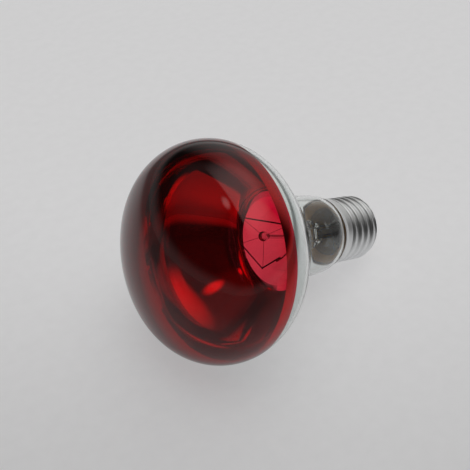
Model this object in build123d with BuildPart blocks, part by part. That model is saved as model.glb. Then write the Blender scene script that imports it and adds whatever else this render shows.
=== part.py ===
"""Reflector lamp with a red face, lying on its shoulder and on the thread of its screw cap."""

import os
from math import asin, atan, atan2, ceil, cos, degrees, hypot, radians, sin, sqrt, tan

from build123d import *

# Blown glass bulb: its greatest width, the arcs and slopes of its wall, and its neck
bulb_diameter = 80.0
dome_radius = 55.6
shoulder_radius = 21.0
shoulder_slope = 36.5
bowl_curve = 78.0
bowl_slope = 51.0
throat_radius = 14.0
throat_room = 0.2
neck_length = 24.24
neck_taper = 4.0
neck_end_radius = 14.0
neck_end_slope = 38.0
neck_close = 4.45
glass_wall = 1.0

# Coatings: aluminium on the inside of the bowl, red lacquer on the outside of the dome
mirror_film = 0.1
mirror_start = -1.5
mirror_length = 32.7
lacquer_film = 0.1
lacquer_overlap = 2.65

# Screw cap of rolled sheet: a flared lip, a plain collar, the thread and an end turned in
cap_sheet = 0.35
cap_overlap = 3.5
lip_clearance = 0.07
flare_length = 2.3
collar_length = 2.7
thread_diameter = 26.4
thread_pitch = 3.629
thread_depth = 1.1
thread_length = 14.2
root_land = 0.06
ridge_seat = 0.2
ridge_foot = 12.0
runout_lead = 0.6
runout_length = 1.6
shell_end_drop = 2.4
shell_end_length = 1.3
shell_bends = (2.0, 0.5, 0.5, 0.9)

# Cement ring between the collar and the neck's end
cement_gap = 1.85
cement_recess = 0.7

# Dark glass insulator, centre contact and solder
insulator_depth = 2.3
insulator_nose_length = 2.8
insulator_nose_diameter = 12.4
contact_diameter = 9.6
contact_thickness = 0.5
contact_rounding = 0.2
eyelet_diameter = 4.0
eyelet_wall = 0.8
eyelet_length = 2.2
solder_diameter = 5.0
solder_height = 1.1

# Glass stem: flare, tube and flat press, with its exhaust tube
stem_wall = 0.9
stem_tube_diameter = 8.4
stem_tube_length = 2.4
flare_height = 4.0
flare_seat = 1.0
flare_mouth_gap = 0.5
flare_bend_radius = 3.5
press_shoulder = 2.6
press_length = 4.4
press_width = 11.0
press_thickness = 3.6
exhaust_diameter = 3.0
exhaust_wall = 0.6
exhaust_length = 15.0

# Filament mount, turned about the bulb's axis: its places are across the axis, in mm from it
mount_turn = 155.8
mount_height = 21.0
filament_start = (9.0, 4.2)
filament_hooks = ((-0.8, 10.0), (-13.2, 2.3), (-13.4, -8.1), (13.0, -8.5))
filament_end = (12.4, -2.2)
coil_diameter = 0.5
coil_bend = 0.5
lead_diameter = 0.6
lead_bend = 0.8
lead_rise = 1.2
lead_turn_room = 1.4
clamp_length = 2.6
clamp_overhang = 0.9
side_joint_offset = 3.1
side_solder_diameter = 2.0
side_solder_height = 1.0
support_diameter = 0.16
support_root = 1.0
support_tail = 1.2
rod_diameter = 2.0
bead_diameter = 4.2
bead_place = (-0.3, -2.4)
wire_gap = 0.05

# Thread form: round crests and roots of one radius
thread_flank = 2 * atan(2 * thread_depth / thread_pitch)
thread_round = thread_pitch / 4 / sin(thread_flank)
crest_radius = thread_diameter / 2
root_radius = crest_radius - thread_depth
core_radius = root_radius + root_land

# Bulb wall behind the shoulder: bowl, neck and an end that closes in to fit the cap. The throat's
# bend is no larger than the straight run before it leaves room for.
shoulder_ring = bulb_diameter / 2 - shoulder_radius
widest_depth = dome_radius - sqrt((dome_radius - shoulder_radius) ** 2 - shoulder_ring**2)
bowl_centre_depth = widest_depth - (bowl_curve - shoulder_radius) * sin(radians(shoulder_slope))
bowl_centre_radius = shoulder_ring - (bowl_curve - shoulder_radius) * cos(radians(shoulder_slope))
bowl_depth = bowl_centre_depth + bowl_curve * sin(radians(bowl_slope))
bowl_radius = bowl_centre_radius + bowl_curve * cos(radians(bowl_slope))
seal_radius = crest_radius - cap_sheet - cement_gap
neck_end_width = seal_radius + neck_close
neck_width = neck_end_width + neck_length * tan(radians(neck_taper))
throat_depth = bowl_depth + (bowl_radius - neck_width) / tan(radians(bowl_slope))
neck_end_depth = throat_depth + neck_length
seal_depth = neck_end_depth + neck_close / tan(radians(neck_end_slope))
throat_run = (bowl_radius - neck_width) / sin(radians(bowl_slope))
throat_turn = radians(bowl_slope - neck_taper)
throat_bend = min(throat_radius, (throat_run - throat_room) / tan(throat_turn / 2))
bulb_corners = (
    (bowl_depth, bowl_radius),
    (throat_depth, neck_width),
    (neck_end_depth, neck_end_width),
    (seal_depth, seal_radius),
)

# Cap along the axis: a collar as wide as the crests, and a core a little above the roots
lip_depth = seal_depth - cap_overlap
lip_radius = seal_radius + cap_overlap * tan(radians(neck_end_slope)) + lip_clearance + cap_sheet
collar_end = lip_depth + flare_length + collar_length
last_crest_depth = collar_end + thread_length
thread_turns = ceil(thread_length / thread_pitch)
thread_start = last_crest_depth - (thread_turns + 0.5) * thread_pitch
runout_start = last_crest_depth + runout_lead
shell_end = runout_start + runout_length
shell_tip = shell_end + shell_end_length
shell_corners = (
    (lip_depth, lip_radius),
    (lip_depth + flare_length, crest_radius),
    (collar_end, crest_radius),
    (collar_end + crest_radius - core_radius, core_radius),
    (shell_end, core_radius),
    (shell_tip, core_radius - shell_end_drop),
)
insulator_start = shell_end - insulator_depth
nose_depth = shell_tip + insulator_nose_length
contact_depth = nose_depth + contact_thickness

# Stem along the axis, from the seal towards the dome
flare_bend_depth = seal_depth - flare_height
stem_tube_start = flare_bend_depth - stem_tube_length
press_base = stem_tube_start - press_shoulder
press_depth = press_base - press_length
exhaust_end = stem_tube_start + exhaust_length
flare_mouth = seal_radius - glass_wall / cos(radians(neck_end_slope)) - flare_mouth_gap
flare_corners = (
    (stem_tube_start, stem_tube_diameter / 2),
    (flare_bend_depth, stem_tube_diameter / 2),
    (seal_depth, flare_mouth),
)

# Filament, its supports and its leads: wires lie side by side with the gap between them
filament_depth = press_depth - mount_height
support_depth = filament_depth + coil_diameter / 2 + wire_gap + support_diameter / 2
clamp_offset = coil_diameter / 2 + wire_gap + lead_diameter / 2
lead_offset = (exhaust_diameter / 2 + stem_tube_diameter / 2 - stem_wall) / 2
side_joint_depth = collar_end + side_joint_offset
side_joint_radius = core_radius - cap_sheet

# The lamp rests on its shoulder and on the last crest of the thread, with the cap's end lower
rest_reach = last_crest_depth - widest_depth
rest_drop = shoulder_ring - (crest_radius - thread_round)
rest_tilt = atan2(rest_drop, rest_reach) + asin((shoulder_radius - thread_round) / hypot(rest_reach, rest_drop))
axis_direction = Vector(cos(rest_tilt), 0, -sin(rest_tilt))

# The origin lies on the floor under the middle of the lamp's length
left_reach = dome_radius * (1 - cos(rest_tilt)) + lacquer_film
right_reach = contact_depth * cos(rest_tilt) + contact_diameter / 2 * sin(rest_tilt)
dome_height = widest_depth * sin(rest_tilt) + shoulder_ring * cos(rest_tilt) + shoulder_radius
dome_top = Vector((left_reach - right_reach) / 2, 0, dome_height)

bulb_axis = Axis(dome_top, axis_direction)
lathe = Plane(origin=dome_top, x_dir=axis_direction, z_dir=(0, -1, 0))
across = Plane(origin=dome_top, x_dir=(0, 1, 0), z_dir=axis_direction)
mount_side = across.x_dir * cos(radians(mount_turn)) + across.y_dir * sin(radians(mount_turn))
mount = Plane(origin=dome_top, x_dir=mount_side, z_dir=axis_direction)
from_axis = (Align.MIN, Align.MIN)


def crossing(first, first_slope, second, second_slope):
    """Where two falling lines meet, each given by a point and its slope."""
    fall_1 = tan(first_slope)
    fall_2 = tan(second_slope)
    depth = (second[1] - first[1] + fall_2 * second[0] - fall_1 * first[0]) / (fall_2 - fall_1)
    return depth, first[1] - fall_1 * (depth - first[0])


def inset_corners(corners, inset):
    """Corners of a line moved towards the axis by the inset, with both ends moved square to it."""
    runs = []
    for (depth_1, radius_1), (depth_2, radius_2) in zip(corners, corners[1:]):
        slope = atan2(radius_1 - radius_2, depth_2 - depth_1)
        inwards, down = -inset * sin(slope), -inset * cos(slope)
        runs.append(((depth_1 + inwards, radius_1 + down), (depth_2 + inwards, radius_2 + down), slope))
    moved = [runs[0][0]]
    for before, after in zip(runs, runs[1:]):
        moved.append(crossing(before[0], before[2], after[0], after[2]))
    return moved + [runs[-1][1]]


def ending_at(depth, corners):
    """The corners of a line, with its last run ended at a depth along the axis."""
    (depth_1, radius_1), (depth_2, radius_2) = corners[-2:]
    radius = radius_1 + (radius_2 - radius_1) * (depth - depth_1) / (depth_2 - depth_1)
    return [*corners[:-1], (depth, radius)]


def bulb_section(inset):
    """Half of the bulb's section, with its wall moved inwards by the inset."""
    join_angle = degrees(atan2(shoulder_ring, widest_depth - dome_radius))
    bends = [throat_bend + inset, neck_end_radius - inset]
    with BuildSketch() as section:
        with BuildLine():
            dome = CenterArc((dome_radius, 0), dome_radius - inset, 180, join_angle - 180)
            ring_centre = (widest_depth, shoulder_ring)
            CenterArc(ring_centre, shoulder_radius - inset, join_angle, 90 - shoulder_slope - join_angle)
            bowl_centre = (bowl_centre_depth, bowl_centre_radius)
            CenterArc(bowl_centre, bowl_curve - inset, 90 - shoulder_slope, shoulder_slope - bowl_slope)
            corners = ending_at(seal_depth, inset_corners(bulb_corners, inset))
            FilletPolyline(*corners, radius=bends)
            Polyline(corners[-1], (seal_depth, 0), dome @ 0)
        make_face()
    return section.sketch


def wall_section(outer_inset, inner_inset):
    """Half of the section of a skin between two insets of the bulb's wall."""
    with BuildSketch() as section:
        add(bulb_section(outer_inset))
        add(bulb_section(inner_inset), mode=Mode.SUBTRACT)
    return section.sketch


def shell_section(inset):
    """Half of the section of all that lies inside the cap's shell, down to the axis."""
    corners = ending_at(shell_tip, inset_corners(shell_corners, inset))
    hollow = (1, -1, 1, -1)
    bends = [bend + side * inset for bend, side in zip(shell_bends, hollow)]
    with BuildSketch() as section:
        with BuildLine():
            FilletPolyline(*corners, radius=bends)
            Polyline(corners[-1], (shell_tip, 0), (corners[0][0], 0), corners[0])
        make_face()
    return section.sketch


def ridge_section():
    """Section of the thread's ridge at its start: a round crest, round flanks and a seat in the core."""
    flank = degrees(thread_flank)
    seat = core_radius - ridge_seat
    with BuildSketch() as section:
        with BuildLine():
            CenterArc((thread_start, crest_radius - thread_round), thread_round, 90 - flank, 2 * flank)
            feet = []
            for side in (-1, 1):
                root_centre = (thread_start + side * thread_pitch / 2, root_radius + thread_round)
                root = CenterArc(root_centre, thread_round, 270 - side * flank, side * (flank - ridge_foot))
                feet.append(root @ 1)
            Polyline(feet[0], (feet[0].X, seat), (feet[1].X, seat), feet[1])
        make_face()
    return section.sketch


def mount_point(place, depth):
    """A place across the mount, taken to a depth along the bulb's axis."""
    return mount.from_local_coords(Vector(place[0], place[1], depth))


def clamp_run(end, hook):
    """Both ends of the lead's clamp, which lies outside the filament's last run and along it."""
    run = (Vector(*hook) - Vector(*end)).normalized()
    outwards = Vector(run.Y, -run.X)
    if outwards.dot(Vector(*end)) < 0:
        outwards = -outwards
    start = Vector(*end) + outwards * clamp_offset - run * clamp_overhang
    tip = start + run * (clamp_overhang + clamp_length)
    return mount_point((tip.X, tip.Y), filament_depth), mount_point((start.X, start.Y), filament_depth)


os.makedirs("parts", exist_ok=True)

# Bulb, blown as one piece and open at the seal
with BuildPart() as glass_envelope:
    with BuildSketch(lathe):
        add(wall_section(0, glass_wall))
    revolve(axis=bulb_axis)
glass_envelope.part.label = "glass_envelope"
export_step(glass_envelope.part, "parts/glass_envelope.step")

# Aluminium film on the inside of the bowl, from just before the widest circle back to the throat
with BuildPart() as mirror_coating:
    with BuildSketch(lathe):
        add(wall_section(glass_wall, glass_wall + mirror_film))
        with Locations((widest_depth + mirror_start, 0)):
            Rectangle(mirror_length, bulb_diameter, align=from_axis, mode=Mode.INTERSECT)
    revolve(axis=bulb_axis)
mirror_coating.part.label = "mirror_coating"
export_step(mirror_coating.part, "parts/mirror_coating.step")

# Lacquer over the dome and a little way past the widest circle
with BuildPart() as red_lacquer:
    with BuildSketch(lathe):
        add(wall_section(-lacquer_film, 0))
        with Locations((-lacquer_film, 0)):
            lacquer_reach = lacquer_film + widest_depth + lacquer_overlap
            Rectangle(lacquer_reach, bulb_diameter, align=from_axis, mode=Mode.INTERSECT)
    revolve(axis=bulb_axis)
red_lacquer.part.label = "red_lacquer"
export_step(red_lacquer.part, "parts/red_lacquer.step")

# Screw shell: the thread's ridge runs out at the far end and meets the collar at the near one
with BuildPart() as screw_shell:
    ridge_path = Helix(
        thread_pitch,
        (thread_turns + 1.5) * thread_pitch,
        root_radius,
        center=across.from_local_coords(Vector(0, 0, thread_start)),
        direction=axis_direction,
        mode=Mode.PRIVATE,
    )
    with BuildSketch(lathe):
        add(ridge_section())
    sweep(path=ridge_path, is_frenet=True)
    with BuildSketch(lathe):
        with BuildLine():
            Polyline(
                (collar_end, 0),
                (collar_end, crest_radius + cap_sheet),
                (runout_start, crest_radius + cap_sheet),
                (runout_start, crest_radius),
                (shell_end, core_radius),
                (shell_end, 0),
                close=True,
            )
        make_face()
    revolve(axis=bulb_axis, mode=Mode.INTERSECT)
    with BuildSketch(lathe):
        add(shell_section(0))
    revolve(axis=bulb_axis)
    with BuildSketch(lathe):
        add(shell_section(cap_sheet))
    revolve(axis=bulb_axis, mode=Mode.SUBTRACT)
screw_shell.part.label = "screw_shell"
export_step(screw_shell.part, "parts/screw_shell.step")

# Cement between the collar and the neck's end
with BuildPart() as cap_cement:
    with BuildSketch(lathe):
        with Locations((lip_depth + cement_recess, seal_radius)):
            cement_reach = collar_end - lip_depth - cement_recess
            Rectangle(cement_reach, lip_radius - seal_radius, align=from_axis)
        add(shell_section(cap_sheet), mode=Mode.INTERSECT)
        add(bulb_section(0), mode=Mode.SUBTRACT)
    revolve(axis=bulb_axis)
cap_cement.part.label = "cap_cement"
export_step(cap_cement.part, "parts/cap_cement.step")

# Insulator, pressed hot into the turned-in end of the shell
with BuildPart() as insulator:
    with BuildSketch(lathe):
        add(shell_section(cap_sheet))
        with Locations((insulator_start, 0)):
            Rectangle(shell_tip - insulator_start, core_radius, align=from_axis, mode=Mode.INTERSECT)
        with BuildLine():
            shell_mouth = ending_at(shell_tip, inset_corners(shell_corners, cap_sheet))[-1]
            nose_rim = (nose_depth, insulator_nose_diameter / 2)
            Polyline((shell_tip, 0), shell_mouth, nose_rim, (nose_depth, 0), close=True)
        make_face()
        with Locations((insulator_start, 0)):
            Rectangle(nose_depth - insulator_start, eyelet_diameter / 2, align=from_axis, mode=Mode.SUBTRACT)
    revolve(axis=bulb_axis)
insulator.part.label = "insulator"
export_step(insulator.part, "parts/insulator.step")

# Centre contact: an eyelet with its plate on the insulator's nose
with BuildPart() as centre_contact:
    with BuildSketch(lathe):
        with Locations((nose_depth, 0)):
            Rectangle(contact_thickness, contact_diameter / 2, align=from_axis)
        with Locations((nose_depth - eyelet_length, 0)):
            Rectangle(eyelet_length, eyelet_diameter / 2, align=from_axis)
            eyelet_bore = eyelet_diameter / 2 - eyelet_wall
            Rectangle(eyelet_length + contact_thickness, eyelet_bore, align=from_axis, mode=Mode.SUBTRACT)
    revolve(axis=bulb_axis)
    plate_rims = centre_contact.edges().filter_by(GeomType.CIRCLE).group_by(SortBy.RADIUS)[-1]
    fillet(plate_rims.sort_by(bulb_axis)[-1], contact_rounding)
centre_contact.part.label = "centre_contact"
export_step(centre_contact.part, "parts/centre_contact.step")

# Solder drop over the eyelet
with BuildPart() as contact_solder:
    with BuildSketch(lathe):
        with BuildLine():
            drop_radius = (solder_height**2 + (solder_diameter / 2) ** 2) / (2 * solder_height)
            drop_edge = (contact_depth, solder_diameter / 2)
            drop = RadiusArc(drop_edge, (contact_depth + solder_height, 0), drop_radius)
            Polyline(drop @ 1, (contact_depth, 0), drop @ 0)
        make_face()
    revolve(axis=bulb_axis)
contact_solder.part.label = "contact_solder"
export_step(contact_solder.part, "parts/contact_solder.step")

# Side lead: from its clamp through the press, then out to the shell behind the collar
with BuildPart() as side_lead:
    with BuildLine() as side_route:
        FilletPolyline(
            *clamp_run(filament_start, filament_hooks[0]),
            mount_point((0, lead_offset), press_depth - lead_rise),
            mount_point((0, lead_offset), side_joint_depth),
            mount_point((0, side_joint_radius - wire_gap), side_joint_depth),
            radius=lead_bend,
        )
    with BuildSketch(Plane(origin=side_route.line @ 0, z_dir=side_route.line % 0)):
        Circle(lead_diameter / 2)
    sweep(path=side_route.line)
side_lead.part.label = "side_lead"
export_step(side_lead.part, "parts/side_lead.step")

# Centre lead: past the tip of the exhaust tube, then along the axis to the contact
with BuildPart() as centre_lead:
    with BuildLine() as centre_route:
        FilletPolyline(
            *clamp_run(filament_end, filament_hooks[-1]),
            mount_point((0, -lead_offset), press_depth - lead_rise),
            mount_point((0, -lead_offset), exhaust_end + exhaust_diameter / 2),
            mount_point((0, 0), exhaust_end + exhaust_diameter / 2 + lead_offset + lead_turn_room),
            mount_point((0, 0), contact_depth),
            radius=lead_bend,
        )
    with BuildSketch(Plane(origin=centre_route.line @ 0, z_dir=centre_route.line % 0)):
        Circle(lead_diameter / 2)
    sweep(path=centre_route.line)
centre_lead.part.label = "centre_lead"
export_step(centre_lead.part, "parts/centre_lead.step")

# Solder that joins the side lead to the shell
with BuildPart() as side_solder:
    drop_foot = mount_point((0, side_joint_radius - side_solder_height), side_joint_depth)
    with BuildSketch(Plane(origin=drop_foot, z_dir=mount.y_dir)):
        Circle(side_solder_diameter / 2)
    extrude(amount=side_solder_height + cap_sheet)
    with BuildSketch(lathe):
        add(shell_section(cap_sheet))
    revolve(axis=bulb_axis, mode=Mode.INTERSECT)
    add(side_lead.part, mode=Mode.SUBTRACT)
side_solder.part.label = "side_solder"
export_step(side_solder.part, "parts/side_solder.step")

# Stem: a flare butted to the seal, drawn down to a tube and pressed flat around the leads
with BuildPart() as glass_stem:
    with BuildSketch(lathe):
        with BuildLine():
            outside = FilletPolyline(*flare_corners, radius=flare_bend_radius)
            inside = FilletPolyline(*inset_corners(flare_corners, stem_wall), radius=flare_bend_radius + stem_wall)
            flare_rim = (seal_depth, seal_radius)
            Polyline(outside @ 1, flare_rim, (seal_depth + flare_seat, seal_radius), inside @ 1)
            Line(inside @ 0, outside @ 0)
        make_face()
    revolve(axis=bulb_axis)
    with BuildSketch(mount.offset(press_depth)):
        SlotOverall(press_width, press_thickness, rotation=90)
    extrude(amount=press_length)
    with BuildSketch(mount.offset(press_base)):
        SlotOverall(press_width, press_thickness, rotation=90)
    with BuildSketch(mount.offset(stem_tube_start)):
        Circle(stem_tube_diameter / 2)
    loft()
    add(side_lead.part, mode=Mode.SUBTRACT)
    add(centre_lead.part, mode=Mode.SUBTRACT)
glass_stem.part.label = "glass_stem"
export_step(glass_stem.part, "parts/glass_stem.step")

# Exhaust tube, melted shut at its end inside the cap
with BuildPart() as exhaust_tube:
    with BuildSketch(lathe):
        with BuildLine():
            outer_radius = exhaust_diameter / 2
            bore_radius = outer_radius - exhaust_wall
            tip = CenterArc((exhaust_end, 0), outer_radius, 0, 90)
            hollow_tip = CenterArc((exhaust_end, 0), bore_radius, 0, 90)
            Line(tip @ 0, hollow_tip @ 0)
            Polyline(tip @ 1, (stem_tube_start, outer_radius), (stem_tube_start, bore_radius), hollow_tip @ 1)
        make_face()
    revolve(axis=bulb_axis)
exhaust_tube.part.label = "exhaust_tube"
export_step(exhaust_tube.part, "parts/exhaust_tube.step")

# Support wires, sealed into the bead and spread to the filament's hooks
bead_centre = mount_point(bead_place, support_depth)
supports = []
for number, hook in enumerate(filament_hooks, 1):
    reach = mount_point(hook, support_depth) - bead_centre
    root = bead_centre + reach.normalized() * support_root
    with BuildPart() as support_wire:
        with BuildSketch(Plane(origin=root, z_dir=reach)):
            Circle(support_diameter / 2)
        extrude(amount=reach.length - support_root + support_tail)
    support_wire.part.label = f"support_wire_{number}"
    export_step(support_wire.part, f"parts/support_wire_{number}.step")
    supports.append(support_wire.part)

# Glass rod on the press, melted into a bead around the supports
with BuildPart() as mount_rod:
    rod_foot = mount_point((0, 0), press_depth)
    rod_reach = bead_centre - rod_foot
    with BuildSketch(Plane(origin=rod_foot, x_dir=rod_reach, z_dir=rod_reach.cross(mount.y_dir))):
        with BuildLine():
            bead_join = degrees(asin(rod_diameter / bead_diameter))
            bead = CenterArc((rod_reach.length, 0), bead_diameter / 2, 0, 180 - bead_join)
            rod_root = (-rod_diameter, rod_diameter / 2)
            Polyline(bead @ 1, rod_root, (-rod_diameter, 0), bead @ 0)
        make_face()
    revolve(axis=Axis(rod_foot, rod_reach))
    with BuildSketch(mount.offset(press_depth)):
        Circle(bulb_diameter / 2)
    extrude(amount=-press_depth, mode=Mode.INTERSECT)
    for support in supports:
        add(support, mode=Mode.SUBTRACT)
mount_rod.part.label = "mount_rod"
export_step(mount_rod.part, "parts/mount_rod.step")

# Filament: the coil's outer form, bent at each hook
with BuildPart() as filament:
    with BuildLine() as filament_route:
        filament_places = (filament_start, *filament_hooks, filament_end)
        FilletPolyline(*[mount_point(place, filament_depth) for place in filament_places], radius=coil_bend)
    with BuildSketch(Plane(origin=filament_route.line @ 0, z_dir=filament_route.line % 0)):
        Circle(coil_diameter / 2)
    sweep(path=filament_route.line)
filament.part.label = "filament"
export_step(filament.part, "parts/filament.step")
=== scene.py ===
from math import atan, atan2, cos, degrees, hypot, pi, radians, sin, sqrt, tan

import bpy
from mathutils import Matrix, Vector


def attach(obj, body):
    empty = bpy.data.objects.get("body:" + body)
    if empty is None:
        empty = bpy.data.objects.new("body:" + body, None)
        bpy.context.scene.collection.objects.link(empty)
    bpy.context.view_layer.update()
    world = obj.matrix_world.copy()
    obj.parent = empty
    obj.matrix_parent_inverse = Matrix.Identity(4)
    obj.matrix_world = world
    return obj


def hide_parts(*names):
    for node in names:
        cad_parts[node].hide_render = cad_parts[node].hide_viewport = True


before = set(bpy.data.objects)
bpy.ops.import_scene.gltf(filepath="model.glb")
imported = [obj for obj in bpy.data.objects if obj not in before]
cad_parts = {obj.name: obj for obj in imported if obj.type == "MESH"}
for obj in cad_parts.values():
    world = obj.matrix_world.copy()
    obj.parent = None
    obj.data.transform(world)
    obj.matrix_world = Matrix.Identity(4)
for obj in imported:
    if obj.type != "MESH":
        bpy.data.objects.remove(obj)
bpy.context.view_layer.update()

MM = 0.001

# The lamp's own frame: the dome's top, the axis towards the cap, and the direction square to it
# that points up. All sizes below are in millimetres, and depths run along the axis from the dome.
REST_TILT = radians(20.17401930)
DOME_TOP = Vector((-50.688303, 0.0, 48.036772))
AXIS = Vector((cos(REST_TILT), 0.0, -sin(REST_TILT)))
UPWARD = Vector((sin(REST_TILT), 0.0, cos(REST_TILT)))
SIDEWAYS = Vector((0.0, 1.0, 0.0))

# Blown bulb
DOME_RADIUS = 55.6
SHOULDER_RADIUS = 21.0
SHOULDER_RING = 19.0
WIDEST_DEPTH = 26.683569
SHOULDER_SLOPE = radians(36.5)
BOWL_CURVE = 78.0
BOWL_SLOPE = radians(51.0)
BOWL_CENTRE = (-7.221330, -26.819841)
THROAT_RADIUS = 14.0
NECK_END_RADIUS = 14.0
GLASS_WALL = 1.0
SEAL_DEPTH = 87.479609
SEAL_RADIUS = 11.0
NECK_END = (81.783869, 15.45)
BULB_CORNERS = ((53.396055, 22.267149), (57.543869, 17.145026), NECK_END, (SEAL_DEPTH, SEAL_RADIUS))

# Where pieces of glass lie against others they stay this far apart, so that light finds both faces
SEAM = 0.05

# Coatings. The lacquer's thin and thick side and the shift of its runs are places across in metres.
MIRROR_START = WIDEST_DEPTH - 1.5
MIRROR_END = MIRROR_START + 32.7
MIRROR_FILM = 0.1
MIRROR_GAP = 0.01
LACQUER_END = WIDEST_DEPTH + 2.65
LACQUER_FILM = 0.1
LACQUER_THIN_SIDE = -0.026
LACQUER_THICK_SIDE = 0.054
LACQUER_RUN = 0.006
LACQUER_SLANT = 1.35

# Screw cap
CAP_SHEET = 0.35
LIP_DEPTH = 83.979609
LIP_RADIUS = 14.154500
COLLAR_START = LIP_DEPTH + 2.3
COLLAR_END = LIP_DEPTH + 5.0
CREST_RADIUS = 13.2
ROOT_RADIUS = 12.1
CORE_RADIUS = 12.16
THREAD_PITCH = 3.629
LAST_CREST = COLLAR_END + 14.2
RUNOUT_START = LAST_CREST + 0.6
SHELL_END = RUNOUT_START + 1.6
SHELL_TIP = SHELL_END + 1.3
SHELL_CORNERS = (
    (LIP_DEPTH, LIP_RADIUS), (COLLAR_START, CREST_RADIUS), (COLLAR_END, CREST_RADIUS),
    (COLLAR_END + CREST_RADIUS - CORE_RADIUS, CORE_RADIUS), (SHELL_END, CORE_RADIUS),
    (SHELL_TIP, CORE_RADIUS - 2.4),
)
SHELL_BENDS = (2.0, 0.5, 0.5, 0.9)
LIP_STEPS = 5
ROOT_FILL = 0.05
ROOT_FILL_REACH = 0.2
HOLLOW_GAP = 0.03
CAP_SEGMENTS = 240
CEMENT_START = LIP_DEPTH + SEAM
CEMENT_FILM = 0.25

# Cap's end
INSULATOR_START = SHELL_END - 2.3
CEMENT_END = INSULATOR_START - 0.5
NOSE_START = SHELL_TIP + 0.1
NOSE_DEPTH = SHELL_TIP + 2.8
NOSE_RADIUS = 6.2
NOSE_BEND = 0.9
CONTACT_DEPTH = NOSE_DEPTH + 0.5
CONTACT_RADIUS = 4.8
CONTACT_GAP = 0.02
CONTACT_EDGES = (0.12, 0.2)
EYELET_RADIUS = 2.0
EYELET_BORE = 1.2
EYELET_START = NOSE_DEPTH - 2.2
DROP_RADIUS = 2.5
DROP_HEIGHT = 1.1

# Stem, from its press to its flare
PRESS_DEPTH = 74.079609
PRESS_BASE = PRESS_DEPTH + 4.4
STEM_TUBE_START = PRESS_BASE + 2.6
FLARE_BEND_DEPTH = STEM_TUBE_START + 2.4
PRESS_WIDTH = 5.5
PRESS_THICKNESS = 1.8
PRESS_EDGE = 0.5
PRESS_RUN = (1.5, 2.5, 3.4)
PRESS_BLEND = 0.4
STEM_RADIUS = 4.2
STEM_WALL = 0.9
FLARE_BEND = 3.5
FLARE_MOUTH = 9.230982
FLARE_SEAT = 1.0
FLARE_RIM = 0.3
STEM_DOME = 0.8
EXHAUST_RADIUS = 1.5
EXHAUST_BORE = 0.9
EXHAUST_END = STEM_TUBE_START + 15.0

# Filament mount: places across the axis, on a plane turned about it
MOUNT_TURN = radians(155.8)
MOUNT_X = SIDEWAYS * cos(MOUNT_TURN) + UPWARD * sin(MOUNT_TURN)
MOUNT_Y = AXIS.cross(MOUNT_X)
FILAMENT_DEPTH = 53.079609
FILAMENT_PLACES = ((9.0, 4.2), (-0.8, 10.0), (-13.2, 2.3), (-13.4, -8.1), (13.0, -8.5), (12.4, -2.2))
COIL_RADIUS = 0.25
COIL_WIRE = 0.045
COIL_PITCH = 0.15
COIL_BEND = 0.5
SUPPORT_DEPTH = FILAMENT_DEPTH + 0.38
SUPPORT_RADIUS = 0.08
SUPPORT_ROOT = 1.0
LOOP_TURNS = 1.25
LOOP_STEPS = 30
LOOP_PITCH = 0.22
BEAD_PLACE = (-0.3, -2.4)
BEAD_RADIUS = 2.1
BEAD_FILLET = 1.2
ROD_RADIUS = 1.0
ROD_START = 0.15
LEAD_RADIUS = 0.3
LEAD_BEND = 0.8
LEAD_OFFSET = 2.4
LEAD_RISE = 1.2
LEAD_RETURN = 1.4
CLAMP_OFFSET = 0.6
CLAMP_LENGTH = 2.6
CLAMP_OVERHANG = 0.9
SIDE_JOINT = (SEAL_DEPTH + 4.6, 11.81)

SEGMENTS = 224

# Lights. The panel and the spot have places on a flat ceiling at height 1, the patches of wall have
# directions, and the centre of the paper's painted pool of light is in metres.
ROOM_LIGHT = 0.02
PANEL_LIGHT = 0.95
PANEL_SLANT = -0.148
PANEL_EDGE = (-0.29, -0.21)
PANEL_MIDDLE = (0.2, 0.0, 0.0)
PANEL_FADE = (0.1, 1.15)
SPOT_LIGHT = 1.2
SPOT_PLACE = (-0.42, 0.07, 0.0)
SPOT_FADE = (0.03, 0.16)
WALL_PATCHES = (((0.87, 0.4, 0.28), 0.55, 0.45), ((-0.41, 0.49, 0.77), 0.8, 0.1))
PATCH_CORE = 0.97
BACKDROP_LIGHT = 0.24
BACKDROP_FADE = (0.04, 0.2)
KEY_LIGHT = 0.25
KEY_SIZE = 0.6
KEY_PLACE = Vector((-0.05, -0.2, 0.75))
KEY_AIM = Vector((0.0, 0.0, 0.02))
PAPER_HALF = 12.0
# The paper's painted pool of light: its brightness near the lamp, its centre, and how it falls off as seen
# directly and in gloss and glass
PAPER_LIGHT = 0.45
LIGHT_POOL_PLACE = (0.15, 0.2, 0.0)
SEEN_FADE = (0.2, 0.5)
SEEN_FAR_LIGHT = 0.22
MIRRORED_FADE = (0.18, 0.46)
MIRRORED_FAR_LIGHT = 0.02

# Camera
LENS = 59.12
SENSOR_WIDTH = 36.0
CAMERA_PLACE = Vector((-140.377, -163.816, 224.340))
CAMERA_AZIMUTH = radians(-37.5)
CAMERA_ELEVATION = radians(41.6)


def linear(colour):
    """Linear values of an sRGB hex colour, with full alpha."""
    parts = [int(colour[i : i + 2], 16) / 255 for i in (1, 3, 5)]
    return [c / 12.92 if c <= 0.04045 else ((c + 0.055) / 1.055) ** 2.4 for c in parts] + [1.0]


def node(tree, kind, settings=(), inputs=()):
    """Adds a node with its settings or a ramp's stops. An input takes a value or a node's output."""
    made = tree.nodes.new(kind)
    for name, value in dict(settings).items():
        if name == "stops":
            band = made.color_ramp.elements
            for element, (position, colour) in zip((band[0], band[-1]), (value[0], value[-1])):
                element.position, element.color = position, linear(colour)
            for position, colour in value[1:-1]:
                band.new(position).color = linear(colour)
        else:
            setattr(made, name, value)
    for name, value in dict(inputs).items():
        if isinstance(value, bpy.types.NodeSocket):
            tree.links.new(value, made.inputs[name])
        else:
            made.inputs[name].default_value = value
    return made


def bare_material(name):
    """A new material and its empty tree of nodes."""
    material = bpy.data.materials.new(name)
    material.use_nodes = True
    material.node_tree.nodes.clear()
    return material, material.node_tree


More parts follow.
